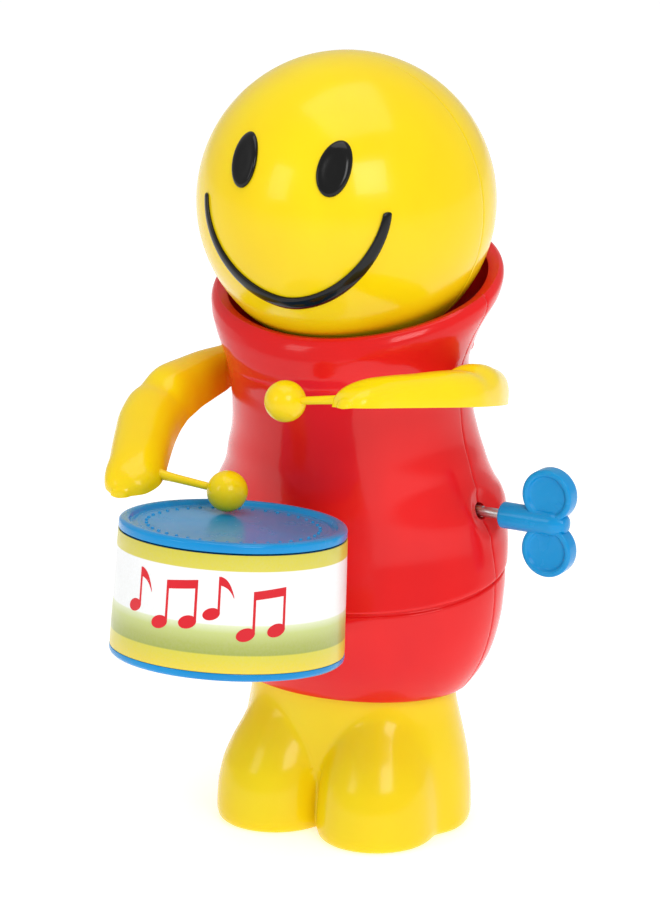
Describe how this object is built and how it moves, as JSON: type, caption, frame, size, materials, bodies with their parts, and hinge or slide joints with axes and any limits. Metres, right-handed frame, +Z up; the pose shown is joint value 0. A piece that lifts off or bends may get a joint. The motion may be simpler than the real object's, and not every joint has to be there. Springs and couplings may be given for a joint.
{
  "type": "wind-up drummer toy",
  "caption": "Key-wound plastic drummer toy: a ball head in a flared collar, a two-part body on a two-toed foot base, two swinging arms with ball-ended sticks and a round drum.",
  "frame": {"origin": "on the floor, under the middle of the body, on the flat underside of the foot base", "axes": "+Z up; the face and the drum are towards -Y; +X is the toy's left, where the key is"},
  "size_m": [0.1223, 0.1366, 0.215],
  "materials": {
    "yellow_plastic": "gloss moulded",
    "red_plastic": "high gloss moulded",
    "blue_plastic": "gloss moulded",
    "black_plastic": "gloss",
    "label_paper": "printed paper with a thin varnish",
    "nylon": "natural nylon",
    "steel": "stamped and zinc plated",
    "brass": "stamped",
    "spring_steel": "blued strip"
  },
  "bodies": {
    "toy_body": {"body_front_shell": "red_plastic", "body_rear_shell": "red_plastic", "feet_base": "yellow_plastic", "drum_shell": "blue_plastic", "drum_lid": "blue_plastic", "drum_label": "label_paper", "drum_peg": "blue_plastic", "drum_screw": "steel", "body_screw_1": "steel", "body_screw_2": "steel", "body_screw_3": "steel", "body_screw_4": "steel", "left_shoulder_bush": "nylon", "right_shoulder_bush": "nylon", "motor_plate_left": "steel", "motor_plate_right": "steel", "motor_post_1": "steel", "motor_post_2": "steel", "motor_post_3": "steel", "motor_post_4": "steel", "motor_bracket_left": "steel", "motor_bracket_right": "steel", "neck_bridge": "steel", "neck_bearing": "nylon", "mainspring": "spring_steel"},
    "head": {"head_front_shell": "yellow_plastic", "head_rear_shell": "yellow_plastic", "eye_left": "black_plastic", "eye_right": "black_plastic", "mouth": "black_plastic", "neck_post": "nylon"},
    "right_arm": {"right_arm": "yellow_plastic", "right_arm_shaft": "steel"},
    "left_arm": {"left_arm": "yellow_plastic", "left_arm_shaft": "steel"},
    "right_link": {"right_link": "steel"},
    "left_link": {"left_link": "steel"},
    "winding": {"key": "blue_plastic", "winding_arbor": "steel", "ratchet_wheel": "steel"},
    "great_wheel": {"great_wheel": "brass", "click": "steel"},
    "crank": {"crankshaft": "steel", "fast_wheel": "brass", "left_crank": "brass", "right_crank": "brass"},
    "fan": {"fan_shaft": "steel", "air_brake": "nylon"}
  },
  "joints": [
    {"name": "key_turn", "type": "hinge", "parent": "toy_body", "child": "winding", "pos_m": [0, 0, 0.0925], "axis": [1, 0, 0], "continuous": true},
    {"name": "great_wheel_turn", "type": "hinge", "parent": "toy_body", "child": "great_wheel", "pos_m": [0, 0, 0.0925], "axis": [1, 0, 0], "continuous": true},
    {"name": "crank_turn", "type": "hinge", "parent": "toy_body", "child": "crank", "pos_m": [0, 0.016, 0.1045], "axis": [1, 0, 0], "continuous": true},
    {"name": "fan_turn", "type": "hinge", "parent": "toy_body", "child": "fan", "pos_m": [0, 0.00906, 0.11277], "axis": [1, 0, 0], "continuous": true},
    {"name": "head_turn", "type": "hinge", "parent": "toy_body", "child": "head", "pos_m": [0, -0.0043, 0.137], "axis": [0, 0, 1], "range_deg": [-25, 25]},
    {"name": "right_arm_swing", "type": "hinge", "parent": "toy_body", "child": "right_arm", "pos_m": [-0.036, 0.008, 0.1238], "axis": [-1, 0, 0], "range_deg": [0, 26]},
    {"name": "left_arm_swing", "type": "hinge", "parent": "toy_body", "child": "left_arm", "pos_m": [0.036, 0.008, 0.1238], "axis": [-1, 0, 0], "range_deg": [-26, 0]},
    {"name": "right_link_swing", "type": "hinge", "parent": "right_arm", "child": "right_link", "pos_m": [-0.01865, 0.01579, 0.12562], "axis": [-1, 0, 0], "range_deg": [-26, 0]},
    {"name": "left_link_swing", "type": "hinge", "parent": "left_arm", "child": "left_link", "pos_m": [0.01865, 0.01579, 0.12198], "axis": [-1, 0, 0], "range_deg": [0, 26]}
  ],
  "couplings": [
    {"joint": "great_wheel_turn", "follows": "key_turn", "ratio": 1},
    {"joint": "crank_turn", "follows": "key_turn", "ratio": -4},
    {"joint": "fan_turn", "follows": "key_turn", "ratio": 10.4},
    {"joint": "left_arm_swing", "follows": "right_arm_swing", "ratio": -1},
    {"joint": "right_link_swing", "follows": "right_arm_swing", "ratio": -1},
    {"joint": "left_link_swing", "follows": "right_arm_swing", "ratio": 1}
  ]
}
